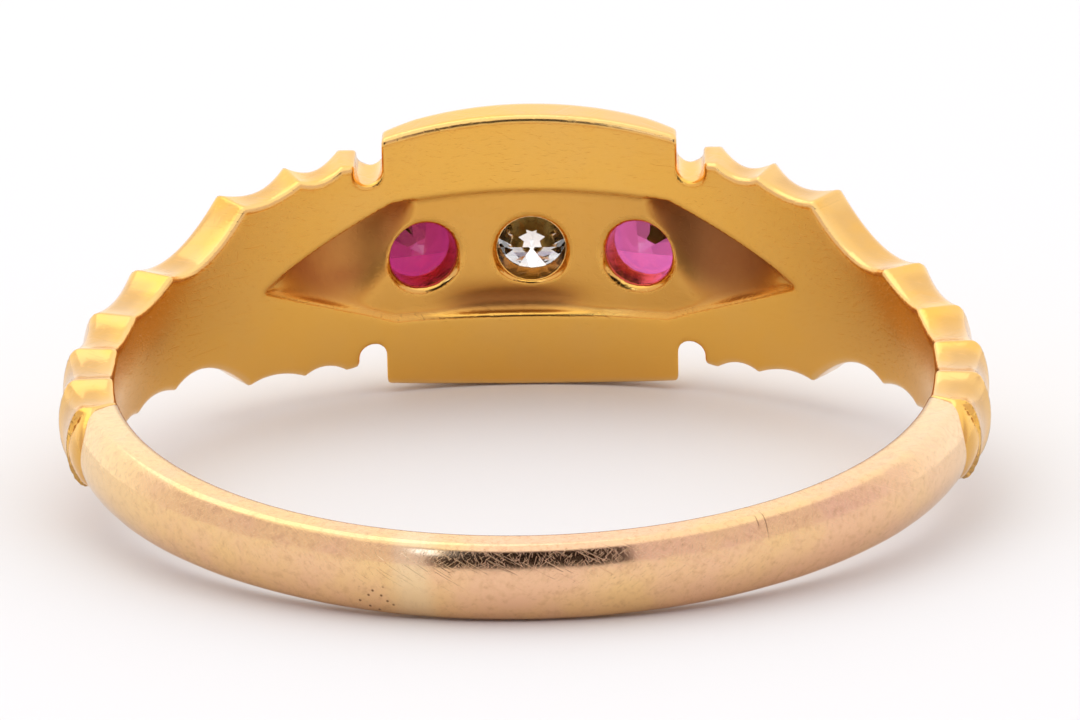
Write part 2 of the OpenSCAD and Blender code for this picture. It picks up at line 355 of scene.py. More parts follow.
# section of the shank at each angle as rise above the finger hole and height: from the middle of the flat
# inner wall, round its edge, up the flank, round the outer edge and over the crown, then the same mirrored
def shankOutline(angles):
    s, counts = shankSizes, shankSizes["counts"]
    half, crown, flank = (value[:, None] for value in shankSize(angles))
    inner, outer = s["innerEdge"], s["outerEdge"]
    zero = 0 * half
    wallHeight = np.linspace(0, 1, counts["wall"], endpoint=False) * (half - inner)
    edgeRise = roundOff(zero, zero, zero + inner, counts["innerEdge"])
    edgeHeight = roundOff(half - inner, half, half, counts["innerEdge"])
    flankRise = inner + np.linspace(0, 1, counts["flank"], endpoint=False) * (flank - outer - inner)
    crownFrom = half - outer
    riseFrom = flank + (crown - flank) * (1 - (crownFrom / half) ** 2)
    cornerRise = roundOff(flank - outer, flank, riseFrom, counts["outerEdge"])
    cornerHeight = roundOff(half, half, crownFrom, counts["outerEdge"])
    crownHeight = crownFrom * np.cos(np.linspace(0, math.pi / 2, counts["crown"]))
    crownRise = flank + (crown - flank) * (1 - (crownHeight / half) ** 2)
    flankHeight = half + 0 * flankRise
    rise = np.concatenate([0 * wallHeight, edgeRise, flankRise, cornerRise, crownRise], axis=1)
    height = np.concatenate([wallHeight, edgeHeight, flankHeight, cornerHeight, crownHeight], axis=1)
    return (
        np.concatenate([rise, rise[:, -2:0:-1]], axis=1),
        np.concatenate([height, -height[:, -2:0:-1]], axis=1),
    )


# the section carried round the finger from shoulder to shoulder, its outer face worn by a sum of slow sine
# waves; both ends sink into the shoulders
def makeShank():
    s = shankSizes
    angles = np.linspace(s["from"], 360 - s["from"], s["sections"])
    rise, height = shankOutline(angles)
    fromShoulder = np.minimum(angles, 360 - angles)[:, None]
    hidden = 1 - smoothStep(s["hiddenUntil"], s["shownFrom"], fromShoulder)
    height = height * (1 - s["hiddenNarrower"] * hidden)
    turn = np.radians(angles)[:, None]
    wear = s["meanWear"] + sum(
        size * np.sin(turns * turn + slant * height + start) for size, turns, slant, start in s["waves"]
    )
    radius = fingerRadius + rise - s["wear"] * wear * smoothStep(*s["wornFrom"], rise)
    radius = radius + s["hiddenBy"] * hidden * np.sign(s["hiddenMiddle"] - rise)
    loops = ringPoint(radius, angles[:, None], height)
    mesh = tubeMesh("shank", layDown(loops))
    addSurfaceMap(mesh, angles, rise, height)
    mesh.shade_smooth()
    shank = newObject("shank", mesh)
    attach(shank, "root")
    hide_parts("shank_and_setting")
    return shank


# UV map in centimetres: arc length from the middle of the shank's back, and length along the section from
# the middle of its crown
def addSurfaceMap(mesh, angles, rise, height):
    middle = len(angles) // 2
    loop = np.stack([rise[middle], height[middle]], axis=1)
    columns = len(loop)
    steps = np.linalg.norm(np.diff(loop, axis=0, append=loop[:1]), axis=1)
    along = np.concatenate([[0], np.cumsum(steps)])
    along = along - along[columns // 2]
    arc = -np.radians(angles - 180) * (fingerRadius + shankSizes["mapRise"])
    corner = np.zeros(len(mesh.loops), int)
    mesh.loops.foreach_get("vertex_index", corner)
    row, column = corner // columns, corner % columns
    start = np.zeros(len(mesh.polygons), int)
    total = np.zeros(len(mesh.polygons), int)
    mesh.polygons.foreach_get("loop_start", start)
    mesh.polygons.foreach_get("loop_total", total)
    face = np.repeat(np.arange(len(start)), total)
    furthest = np.zeros(len(start), int)
    np.maximum.at(furthest, face, column)
    wraps = (column == 0) & (furthest[face] == columns - 1)
    uv = np.stack([arc[row], along[np.where(wraps, columns, column)]], axis=1) / 10
    mesh.uv_layers.new(name="surface").data.foreach_set("uv", uv.astype(np.float32).ravel())


shankPiece = makeShank()
print("shank made:", len(shankPiece.data.polygons), "faces")


# head and shoulders
settingSizes = {
    "headHalfWidth": 3.215, "cornerHalfWidth": 2.91, "corner": 22.2,
    "headMiddle": 1.95, "cornerMiddle": 1.78, "headRim": 0.92, "cornerRim": 0.55,
    "notchX": 3.55, "notchRadius": 0.3, "notchHalfWidth": 1.9,
    # how many degrees the head ends before a notch's middle, and then those to the shoulder's start
    "headStops": 0.5, "shoulderFollows": 1.2,
    "tongueLap": 0.09, "crownFullness": 0.8,
    "rimFillet": 0.16, "cutFillet": 0.09, "grainFillet": 0.06,
    # the wall's rise into the shank and the angles between which it rises
    "endRise": 0.5, "endRises": (101.9, 104.2),
    # how far a cutter reaches past the metal, and the size of the remeshed cells
    "cutPast": 0.6, "voxel": 0.0695, "leanRounds": 8,
    # points along a scallop and the head, across crown and inner wall, and round a notch's end
    "counts": {"scallop": 25, "head": 81, "crown": 61, "wall": 9, "notch": 25},
}
# the head ends at the first of these angles and the shoulder starts at the second, inside a notch
notchAngle = math.degrees(math.asin(settingSizes["notchX"] / fingerRadius))
headEnd = notchAngle - settingSizes["headStops"]
shoulderStart = headEnd + settingSizes["shoulderFollows"]
# the edges between a shoulder's scallops: angle, half width, middle thickness and rim thickness, then how
# far the scallop before the edge dips below a straight line in each of the three
edgeTable = np.array([
    (shoulderStart, 2.36, 1.74, 1.10, 0, 0, 0),
    (28.6, 2.42, 1.70, 1.20, 0, 0, 0),
    (35.5, 2.32, 1.60, 1.10, 0.16, 0.14, 0.36),
    (45.7, 2.12, 1.48, 1.10, 0.14, 0.16, 0.36),
    (62.5, 1.34, 1.36, 1.00, 0.45, 0.12, 0.10),
    (75.0, 1.14, 1.26, 0.96, 0.14, 0.12, 0.14),
    (86.0, 1.06, 1.22, 0.94, 0.13, 0.12, 0.14),
    (95.5, 1.00, 1.20, 0.92, 0.12, 0.12, 0.14),
    (103.5, 0.90, 1.16, 0.86, 0.10, 0.10, 0.12),
    (109.0, 0.16, 1.02, 0.84, -0.14, 0, 0),
])
# the sections lean towards the head on their way out: angle, then degrees for each mm of thickness
leanTable = np.array([(16, 0), (headEnd, 2.5), (28.6, 2.4), (35.5, 1.3), (64, 0)])


def leanOf(section):
    return np.interp(np.abs(section), leanTable[:, 0], leanTable[:, 1])


# angle at the finger hole of the leaning section that holds a point: found in rounds, as the point's own
# angle plus that section's lean over the point's rise
def sectionOf(radius, angle):
    away = np.abs(angle)
    section = away
    for _ in range(settingSizes["leanRounds"]):
        section = away + leanOf(section) * (radius - fingerRadius)
    return section


# half width, middle thickness and rim thickness of each section: the head's are even parabolas, and a
# scallop dips by a parabola below the straight run between its two edges
def settingSize(sections):
    s = settingSizes
    a = np.abs(sections)
    t = (a / s["corner"]) ** 2
    head = [mixOf(s[first], s[last], t) for first, last in (
        ("headHalfWidth", "cornerHalfWidth"), ("headMiddle", "cornerMiddle"), ("headRim", "cornerRim"),
    )]
    which = np.clip(np.searchsorted(edgeTable[:, 0], a), 1, len(edgeTable) - 1)
    before, row = edgeTable[which - 1], edgeTable[which]
    share = np.clip((a - before[:, 0]) / (row[:, 0] - before[:, 0]), 0, 1)
    dip = 4 * share * (1 - share)
    onShoulder = np.clip((a - headEnd) / (shoulderStart - headEnd), 0, 1)
    return tuple(
        mixOf(head[k], mixOf(before[:, k + 1], row[:, k + 1], share) - row[:, k + 4] * dip, onShoulder)
        for k in range(3)
    )


# radius of the outer surface for a section and height: it rises from the rim to the middle as a power of
# one minus the square of the height's share; the tongue follows the shank's crown instead
def crownRadius(sections, height):
    s = settingSizes
    width, middle, rim = settingSize(sections)
    share = np.maximum(0, 1 - (height / width) ** 2)
    domed = fingerRadius + rim + (middle - rim) * share ** s["crownFullness"]
    start, end = edgeTable[-2:, 0]
    along = np.clip((np.abs(sections) - start) / (end - start), 0, 1)
    tongue = shankCrown(np.abs(sections), height) + mixOf(s["tongueLap"], -s["tongueLap"], along ** 3)
    return np.where(np.abs(sections) > start, tongue, domed)


# the inner wall follows the finger hole, and rises into the shank where the shoulder ends
def innerRadius(angles):
    s = settingSizes
    return fingerRadius + s["endRise"] * smoothStep(*s["endRises"], np.abs(angles))


# rough body: one loop for each section, across the inner wall, then back over the crown
def settingBody():
    counts = settingSizes["counts"]
    rising = np.linspace(0, 1, counts["scallop"])[1:]
    spans = [mixOf(low, high, rising) for low, high in zip(edgeTable[:-1, 0], edgeTable[1:, 0])]
    side = np.concatenate([[shoulderStart]] + spans)
    sections = np.concatenate([-side[::-1], np.linspace(-headEnd, headEnd, counts["head"]), side])
    width = settingSize(sections)[0][:, None]
    outerHeight = width * np.cos(np.linspace(0, math.pi, counts["crown"]))
    many = np.repeat(sections, counts["crown"])
    outer = crownRadius(many, outerHeight.ravel()).reshape(outerHeight.shape)
    innerHeight = width * np.linspace(-1, 1, counts["wall"])
    inner = innerRadius(sections)[:, None] + 0 * innerHeight
    radius = np.concatenate([inner, outer], axis=1)
    height = np.concatenate([innerHeight, outerHeight], axis=1)
    lean = (np.sign(sections) * leanOf(sections))[:, None] * (radius - fingerRadius)
    return tubeMesh("settingBody", ringPoint(radius, sections[:, None] - lean, height))


recessSizes = {
    "depth": 0.1, "blend": 0.12, "mouth": 0.5,
    # a wing's hollow: greatest depth and where, radius, lean, and the radius at which its arc is measured
    "wingDepth": 0.42, "wingX": 4.3, "wingRadius": 2.6, "wingSlope": 18.0, "wingArc": 9.0,
    "half": 1.47, "bendHalf": 1.38, "bendX": 3.05, "tipX": 5.8, "taper": 0.88,
    "trough": {"middle": -0.45, "reach": 1.5, "height": -1.18, "width": 0.34, "depth": 0.17},
    # how far the wall's field outruns its distance where the outline slopes, and the fillet at its foot
    "wallSteepness": 1.12, "footFillet": 0.16,
    # the cutter stops short of the tips, and its points along and across
    "tipShort": 0.02, "counts": (141, 33),
}


# half height of the recess at distance x from its middle, running on below zero past its tips
def recessHalf(x):
    s = recessSizes
    middle = mixOf(s["half"], s["bendHalf"], (x / s["bendX"]) ** 2)
    left = (s["tipX"] - np.abs(x)) / (s["tipX"] - s["bendX"])
    ends = s["bendHalf"] * np.sign(left) * np.abs(left) ** s["taper"]
    return np.where(np.abs(x) <= s["bendX"], middle, ends)


# the larger of two fields, rounded over that size where they cross
def softMax(first, second, size):
    overlap = np.maximum(0, size - np.abs(first - second))
    return np.maximum(first, second) + overlap ** 2 / (4 * size)


# depth of the recess: shallow and even behind the stones, hollowed in the wings by a leaning round trough
# that is deepest at their upper edge, with one small trough along the recess's lower edge
def recessDepth(x, height):
    s, trough = recessSizes, recessSizes["trough"]
    slope = math.radians(s["wingSlope"])
    wingAt = math.asin(s["wingX"] / fingerRadius)
    along = (np.arcsin(np.clip(np.abs(x) / fingerRadius, 0, 1)) - wingAt) * s["wingArc"]
    hollow = np.sqrt(np.maximum(0, s["wingRadius"] ** 2 - along ** 2)) - s["wingRadius"]
    bend = along ** 2 / (2 * s["wingArc"])
    wing = s["wingDepth"] + (hollow + height * math.sin(slope)) / math.cos(slope) + bend
    depth = softMax(s["depth"] + 0 * wing, wing, s["blend"])
    across = np.exp(-((height - trough["height"]) / trough["width"]) ** 2)
    return depth + trough["depth"] * across * np.exp(-((x - trough["middle"]) / trough["reach"]) ** 4)


# cutter for the recess: for each x a loop of its floor and a straight mouth below the wall
def recessCutter():
    s = recessSizes
    end, (along, across) = s["tipX"] - s["tipShort"], s["counts"]
    x = np.linspace(-end, end, along)[:, None]
    height = recessHalf(x) * np.linspace(-1, 1, across)
    radius = fingerRadius + recessDepth(x, height)
    floor = np.stack([x + 0 * height, np.sqrt(radius ** 2 - x ** 2), height], axis=-1)
    mouthHeight = recessHalf(x) * np.array([1.0, -1.0])
    mouthY = np.sqrt((fingerRadius - s["mouth"]) ** 2 - x ** 2) + 0 * mouthHeight
    mouth = np.stack([x + 0 * mouthHeight, mouthY, mouthHeight], axis=-1)
    return tubeMesh("recessCutter", np.concatenate([floor, mouth], axis=1))


# cutter for one notch: a slot with a half round end, straight through the metal along Y
def notchCutter(side, face):
    s = settingSizes
    turn = np.linspace(0, math.pi, s["counts"]["notch"])
    across = np.concatenate([s["notchRadius"] * np.cos(turn), [-s["notchRadius"], s["notchRadius"]]])
    height = np.concatenate([
        s["notchHalfWidth"] + s["notchRadius"] * (1 - np.sin(turn)),
        [s["headHalfWidth"] + s["cutPast"]] * 2,
    ]) * face
    outermost = fingerRadius + s["headMiddle"] + s["cutPast"]
    levels = np.array([[fingerRadius / 2], [outermost]])
    across = side * s["notchX"] + across
    loops = np.stack(np.broadcast_arrays(across, levels, height), axis=-1)
    return tubeMesh("notchCutter", loops)


stoneSizes = {"step": 15.8, "radius": 1.25, "girdle": 0.05, "sink": 0.35, "pavilion": 45.0}
seatSizes = {
    "gap": 0.03, "hole": 0.76, "flare": 0.84, "flareDepth": 0.1, "brightCut": 1.36,
    "cutBelow": 0.6, "cutAbove": 0.8, "cutTurns": 72, "axis": 0.001,
    # the depths of an outline part by a least step, so that they always rise
    "leastStep": 1e-6,
    "grainRadius": 0.16, "grainAt": 1.34, "grainRise": 0.18,
    "grainRings": 17, "grainTurns": 24, "grainPole": 0.02,
}
stoneAngles = (-stoneSizes["step"], 0.0, stoneSizes["step"])


# distance from the ring's axis to the top of a stone's girdle
def girdleTop(angle):
    middle = settingSize(np.array([angle]))[1][0]
    return fingerRadius + middle - stoneSizes["sink"]


# sideways and outward directions of a stone's own axis at that angle
def stoneAxes(angle):
    turn = math.radians(angle)
    return np.array([math.cos(turn), -math.sin(turn), 0]), np.array([math.sin(turn), math.cos(turn), 0])


# points about a stone's own axis, turned so that the axis points out of the head at that angle
def atStone(points, angle):
    sideways, outward = stoneAxes(angle)
    return points @ np.stack([sideways, (0, 0, 1), outward])


# outline of a seat as rows of radius and distance from the ring's axis: the flared hole from the finger,
# the cone under the stone, the wall at its girdle and the bright cut above
def seatOutline(angle):
    s, stone = seatSizes, stoneSizes
    top = girdleTop(angle)
    bottom = top - stone["girdle"] - s["gap"]
    floor = fingerRadius + recessSizes["depth"]
    wall = stone["radius"] + s["gap"]
    cone = bottom - (wall - s["hole"]) * math.tan(math.radians(stone["pavilion"]))
    above = top + stone["sink"]
    return np.array([
        (s["flare"], floor - s["cutBelow"]), (s["flare"], floor),
        (s["hole"], floor + s["flareDepth"]), (s["hole"], cone),
        (wall, bottom), (wall, top),
        (s["brightCut"], above), (s["brightCut"], above + s["cutAbove"]),
    ])


# cutter for one seat: its outline turned about the stone's axis
def seatCutter(angle):
    outline, axis = seatOutline(angle), seatSizes["axis"]
    outline = np.concatenate([[(axis, outline[0, 1])], outline, [(axis, outline[-1, 1])]])
    away, depth = outline[:, :1], outline[:, 1:]
    turn = np.linspace(0, 2 * math.pi, seatSizes["cutTurns"], endpoint=False)
    loops = np.stack([away * np.cos(turn), away * np.sin(turn), depth + 0 * turn], axis=-1)
    return tubeMesh("seatCutter", atStone(loops, angle))


# middle of the grain at one corner of a stone
def grainMiddle(angle, corner):
    s, turn = seatSizes, math.radians(corner)
    x, y = s["grainAt"] * math.cos(turn), s["grainAt"] * math.sin(turn)
    return atStone(np.array([x, y, girdleTop(angle) + s["grainRise"]]), angle)


# a ball as a grid of rings between two small poles
def grainBall(angle, corner):
    s = seatSizes
    polar = np.linspace(s["grainPole"], math.pi - s["grainPole"], s["grainRings"])[:, None]
    turn = np.linspace(0, 2 * math.pi, s["grainTurns"], endpoint=False)
    around, height = np.sin(polar), np.cos(polar)
    ball = np.stack([around * np.cos(turn), around * np.sin(turn), height + 0 * turn], axis=-1)
    return tubeMesh("grainBall", ball * s["grainRadius"] + grainMiddle(angle, corner))


# angles of a stone's grains about its own axis
grainCorners = (45, 135, 225, 315)


# the rough body with its cutters taken away and its grains added, remeshed in small even cells
def carvedSetting():
    body = newObject("carving", settingBody())
    tools = [("DIFFERENCE", recessCutter())]
    tools += [("DIFFERENCE", notchCutter(side, face)) for side in (-1, 1) for face in (-1, 1)]
    tools += [("DIFFERENCE", seatCutter(angle)) for angle in stoneAngles]
    tools += [("UNION", grainBall(angle, corner)) for angle in stoneAngles for corner in grainCorners]
    helpers = []
    for operation, mesh in tools:
        helper = newObject(mesh.name, mesh)
        helpers.append(helper)
        modifier = body.modifiers.new(operation.lower(), "BOOLEAN")
        modifier.operation = operation
        modifier.solver = "MANIFOLD"
        modifier.object = helper
    remesh = body.modifiers.new("cells", "REMESH")
    remesh.mode = "VOXEL"
    remesh.voxel_size = settingSizes["voxel"]
    carved = bpy.data.meshes.new_from_object(body.evaluated_get(bpy.context.evaluated_depsgraph_get()))
    for helper in helpers + [body]:
        mesh = helper.data
        bpy.data.objects.remove(helper)
        bpy.data.meshes.remove(mesh)
    return carved


# how the fields are read and settled: step in degrees and greatest slope of an outline, step in mm and
# least square of a field's slope, longest move, share of each pull towards the neighbours, and the rounds
# of evening and, within each, of settling
settling = {
    "outlineStep": 0.05, "outlineSlope": 2.0, "step": 0.002, "leastSteep": 0.25, "longest": 0.05,
    "pull": 0.5, "rounds": 3, "settles": 2,
}


# the fields below are distances in mm, about, and negative inside: metal for the body, air for a cut.
# wall, side and crown of the body: finger side, edge along the finger, and outer face
def bodyFields(points, radius, angle):
    height = np.abs(points[:, 2])
    section = sectionOf(radius, angle)
    width = settingSize(section)[0]
    step, steepest = settling["outlineStep"], settling["outlineSlope"]
    slope = settingSize(section + step)[0] - settingSize(section - step)[0]
    slope = np.clip(slope / (2 * math.radians(step) * radius), -steepest, steepest)
    side = (height - width) / np.sqrt(1 + slope ** 2)
    return innerRadius(angle) - radius, side, radius - crownRadius(section, height)


# the recess is a wall above and below and a floor, on the head's side of the ring
def recessField(points, radius):
    s = recessSizes
    x, y, z = points.T
    walls = (np.abs(z) - recessHalf(x)) / s["wallSteepness"]
    floor = radius - fingerRadius - recessDepth(x, z)
    return np.where(y > 0, softMax(walls, floor, s["footFillet"]), 1.0)


# a notch is the distance to its slot: to the round end below its middle and to the two sides above
def notchField(points):
    s = settingSizes
    x, y, z = points.T
    below = np.minimum(0, np.abs(z) - s["notchHalfWidth"] - s["notchRadius"])
    return np.where(y > 0, np.hypot(np.abs(x) - s["notchX"], below) - s["notchRadius"], 1.0)


# a seat is the distance from its axis less the radius of its outline at that depth
def seatField(points, angle):
    sideways, outward = stoneAxes(angle)
    outline = seatOutline(angle)
    depth = points @ outward
    away = np.hypot(points @ sideways, points[:, 2])
    rising = outline[:, 1] + np.arange(len(outline)) * seatSizes["leastStep"]
    return away - np.interp(depth, rising, outline[:, 0], left=0)


# the whole setting: the body rounded at its rims, less the cuts, plus the grains
def settingField(points):
    s = settingSizes
    radius = np.hypot(points[:, 0], points[:, 1])
    angle = np.degrees(np.arctan2(points[:, 0], points[:, 1]))
    wall, side, crown = bodyFields(points, radius, angle)
    field = softMax(softMax(wall, side, s["rimFillet"]), crown, s["rimFillet"])
    field = softMax(field, -recessField(points, radius), s["cutFillet"])
    field = softMax(field, -notchField(points), s["cutFillet"])
    for stone in stoneAngles:
        field = softMax(field, -seatField(points, stone), s["cutFillet"])
        for corner in grainCorners:
            ball = np.linalg.norm(points - grainMiddle(stone, corner), axis=1) - seatSizes["grainRadius"]
            field = -softMax(-field, -ball, s["grainFillet"])
    return field


# slope of the field at each point, from small steps along the three axes
def fieldSlope(points, here):
    step = settling["step"]
    slope = np.empty_like(points)
    for axis in range(3):
        moved = points.copy()
        moved[:, axis] += step
        slope[:, axis] = (settingField(moved) - here) / step
    return slope


# points moved down the slope of the field onto its zero surface, in short steps
def settle(points):
    longest = settling["longest"]
    for _ in range(settling["settles"]):
        here = settingField(points)
        slope = fieldSlope(points, here)
        steep = np.maximum((slope ** 2).sum(axis=1), settling["leastSteep"])
        points = points - slope * np.clip(here / steep, -longest, longest)[:, None]
    return points


# vertex positions and edges of a mesh, as arrays
def meshArrays(mesh):
    points = np.zeros(len(mesh.vertices) * 3)
    mesh.vertices.foreach_get("co", points)
    edges = np.zeros(len(mesh.edges) * 2, int)
    mesh.edges.foreach_get("vertices", edges)
    return points.reshape(-1, 3), edges.reshape(-1, 2)


# mean of each vertex's neighbours less the vertex
def pullOf(points, edges, counts):
    total = np.empty_like(points)
    for axis in range(3):
        total[:, axis] = np.bincount(edges[:, 0], points[edges[:, 1], axis], len(points))
        total[:, axis] += np.bincount(edges[:, 1], points[edges[:, 0], axis], len(points))
    return total / counts[:, None] - points


# where each mark fades in, in mm of a field unless told otherwise
markRanges = {
    "holes": (-0.1, 0.0), "holesUpTo": 1.4,
    "inside": (-0.12, -0.02), "recess": (-0.1, 0.0), "recessFrom": 0.03, "recessDepth": (-0.02, 0.36),
    # for the painted shadow: distance to the right, distance from the trough in shares of its reach, and
    # how that counts in height
    "paintedRecessShadow": (0.0, 3.8), "trough": (0.7, 1.2), "troughHeight": 3.0,
    # for the painted shade in the scallops' hollows: degrees from a scallop's edge, depth under the outer
    # face and rise above the finger hole
    "paintedScallopShade": (0.8, 3.0), "grooveDepth": (-0.4, -0.1), "grooveRise": (0.15, 0.5),
    # where the rims get their painted highlight
    "rim": (-0.17, -0.02), "rimDepth": (-0.12, 0.0),
}


# what the finish reads at each point: facing the finger, in the recess with its painted shade, in the
# recess's painted shadow, down a stone's hole, in the painted shade of a scallop's hollow, and in the
# painted highlight of a rim
def addMarks(mesh, points):
    m, trough = markRanges, recessSizes["trough"]
    x, y, z = points.T
    radius, angle = np.hypot(x, y), np.degrees(np.arctan2(x, y))
    wall, side, crown = bodyFields(points, radius, angle)
    seats = np.minimum.reduce([seatField(points, stone) for stone in stoneAngles])
    holes = smoothStep(*m["holes"], -seats) * (radius < fingerRadius + m["holesUpTo"])
    recess = smoothStep(*m["recess"], -recessField(points, radius)) * (wall < -m["recessFrom"])
    inside = np.maximum(smoothStep(*m["inside"], wall), recess)
    # the recess mark, stronger with depth, sets both the recess's rougher finish and its painted shade
    recess = recess * smoothStep(*m["recessDepth"], -wall)
    # painted shadow towards the right wing and along the trough under the stones, kept within the recess
    # and out of the holes
    sideways = (x - trough["middle"]) / trough["reach"]
    fromTrough = np.hypot(sideways, (z - trough["height"]) * m["troughHeight"])
    paintedShadeShare = np.maximum(smoothStep(*m["paintedRecessShadow"], x), 1 - smoothStep(*m["trough"], fromTrough))
    section = sectionOf(radius, angle)
    # painted shade in the hollows of the scallops, away from their edges, under the outer face and above
    # the finger hole
    fromEdge = np.abs(section[:, None] - edgeTable[1:-1, 0]).min(axis=1)
    paintedScallopShade = smoothStep(*m["paintedScallopShade"], fromEdge) * (section > shoulderStart)
    paintedScallopShade = paintedScallopShade * smoothStep(*m["grooveDepth"], np.maximum(crown, side))
    paintedScallopShade = paintedScallopShade * smoothStep(*m["grooveRise"], -wall)
    # painted highlight along the rims where wall and side meet
    rim = smoothStep(*m["rim"], -np.abs(wall - side)) * smoothStep(*m["rimDepth"], np.maximum(wall, side))
    marks = {
        "inside": inside, "recess": recess, "paintedRecessShadow": recess * paintedShadeShare * (1 - holes),
        "holes": holes, "paintedScallopShade": paintedScallopShade, "rim": rim,
    }
    for name, values in marks.items():
        mesh.attributes.new(name, "FLOAT", "POINT").data.foreach_set("value", values.astype(np.float32))


# cells evened along the surface, each time settled back onto it
def makeSetting():
    mesh = carvedSetting()
    points, edges = meshArrays(mesh)
    print("setting carved:", len(mesh.polygons), "cells")
    counts = np.bincount(edges.ravel(), minlength=len(points))
    for _ in range(settling["rounds"]):
        points = settle(points + settling["pull"] * pullOf(points, edges, counts))
    addMarks(mesh, points)
    mesh.vertices.foreach_set("co", layDown(points).ravel())
    mesh.update()
    mesh.shade_smooth()
    mesh.name = "setting"
    setting = newObject("setting", mesh)
    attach(setting, "root")
    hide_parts("shank_and_setting")
    return setting


settingPiece = makeSetting()
print("setting made:", len(settingPiece.data.polygons), "faces")


# finishes
# inputs of the scratches, and how far above the least peak a streak is at its full depth
scratchInputs = ("Slant", "Scale", "Stretch", "Least")
scratchSoftness = 0.07


# the peaks of a noise that is stretched along one slant: short thin streaks with pointed ends
def scratchGroup():
    group = bpy.data.node_groups.new("scratches", "ShaderNodeTree")
    face = group.interface
    face.new_socket("Vector", in_out="INPUT", socket_type="NodeSocketVector")
    for name in scratchInputs:
        face.new_socket(name, in_out="INPUT", socket_type="NodeSocketFloat")
    face.new_socket("Lines", in_out="OUTPUT", socket_type="NodeSocketFloat")
    start = addNode(group, "NodeGroupInput").outputs
    slanted = {"Vector": start["Vector"], "Angle": start["Slant"]}
    turned = addNode(group, "ShaderNodeVectorRotate", slanted, rotation_type="Z_AXIS").outputs[0]
    stretch = {0: 1.0, 1: start["Stretch"], 2: start["Stretch"]}
    across = addNode(group, "ShaderNodeCombineXYZ", stretch).outputs[0]
    scaled = addNode(group, "ShaderNodeVectorMath", {0: turned, 1: across}, operation="MULTIPLY")
    peaks = noiseNode(group, scaled.outputs[0], Scale=start["Scale"], Detail=0.0)
    most = added(group, start["Least"], scratchSoftness)
    end = addNode(group, "NodeGroupOutput")
    group.links.new(smoothRange(group, peaks, start["Least"], most), end.inputs["Lines"])
    return group


scratches = scratchGroup()


# the scratches of every row laid over each other
def scratchLines(tree, vector, rows):
    lines = []
    for row in rows:
        inputs = {"Vector": vector, **dict(zip(scratchInputs, row))}
        lines.append(addNode(tree, "ShaderNodeGroup", inputs, node_tree=scratches).outputs["Lines"])
    return largestOf(tree, lines)


def addBump(tree, shader, height, look):
    inputs = {"Height": height, "Strength": look["strength"], "Distance": look["depth"]}
    tree.links.new(addNode(tree, "ShaderNodeBump", inputs).outputs[0], shader.inputs["Normal"])


roseGoldLook = {
    # the edge colour is painted shade, and the pale colour is the joint's own and a painted reflection at
    # the ends
    "yellow": (0.88, 0.58, 0.27), "pink": (0.86, 0.53, 0.32), "pale": (0.87, 0.68, 0.42),
    "dirt": (0.16, 0.07, 0.03), "speckle": (0.62, 0.36, 0.18), "edge": (0.4, 0.24, 0.13),
    # the patches' noise, and the parts of it that turn yellow to pink and smooth to rough
    "patchNoise": {"Scale": 330.0, "Detail": 4.0, "Roughness": 0.6},
    "patches": (0.38, 0.64), "roughPatches": (0.3, 0.7), "roughness": (0.09, 0.16),
    "speckleNoise": {"Scale": 6500.0, "Detail": 3.0, "Roughness": 0.65},
    "speckles": (0.46, 0.74), "speckleRoughness": 0.12,
    # each row of scratches: slant in radians, scale for each cm, stretch, and the least peak that shows
    "scratches": (
        (1.3, 50.0, 12.0, 0.69), (0.6, 44.0, 14.0, 0.7),
        (-1.0, 47.0, 13.0, 0.7), (-0.5, 10.0, 26.0, 0.67),
    ),
    # the pits: their middle on the surface in cm, cells for each cm, size in cells, and reach in cm
    "pits": (-0.294, 0.05), "pitCells": 40.0, "pitSize": (0.07, 0.15), "pitReach": (0.035, 0.05),
    # the nicks: place along the band and both ends in cm, then their fade, darkness and full share
    "nicks": ((0.517, -0.095, -0.06), (0.535, -0.11, -0.035)),
    "nickWidth": (0.0004, 0.002), "nickDark": 0.7, "nickFull": 0.3,
    # the joint's place along the band and half width in cm, its full share, and how ragged its edges are
    "joint": (-0.219, 0.065), "jointFull": 0.2, "jointRagged": 0.12,
    # in cm from the middle: the ends painted paler as a reflection, the painted shade line at the inner
    # edge and its far side, and the painted shade on the lower side
    "ends": (0.75, 1.25), "innerEdge": (0.127, 0.135), "innerWall": (0.142, 0.155),
    "paintedLowerShade": (0.045, 0.085),
    # the greatest share of each tint
    "most": {
        "speckle": 0.45, "joint": 0.55, "ends": 0.5, "innerEdge": 0.8, "paintedLowerShade": 0.4, "dirt": 0.85,
    },
    # heights of pits and grain against a scratch's depth, and the bump's strength and depth in metres
    "bump": {"pits": -3.0, "grain": 0.6, "strength": 0.8, "depth": 0.000002},
}


# a short thin line across the band, at one place along it and between two ends
def nickMask(tree, axes, along, start, end):
    look = roseGoldLook
    half = (end - start) / 2
    beside = distanceFrom(tree, axes["X"], along)
    across = distanceFrom(tree, axes["Y"], (start + end) / 2)
    thin = smoothRange(tree, beside, *look["nickWidth"], look["nickDark"], 0.0)
    return multiplied(tree, thin, smoothRange(tree, across, half * look["nickFull"], half, 1.0, 0.0))
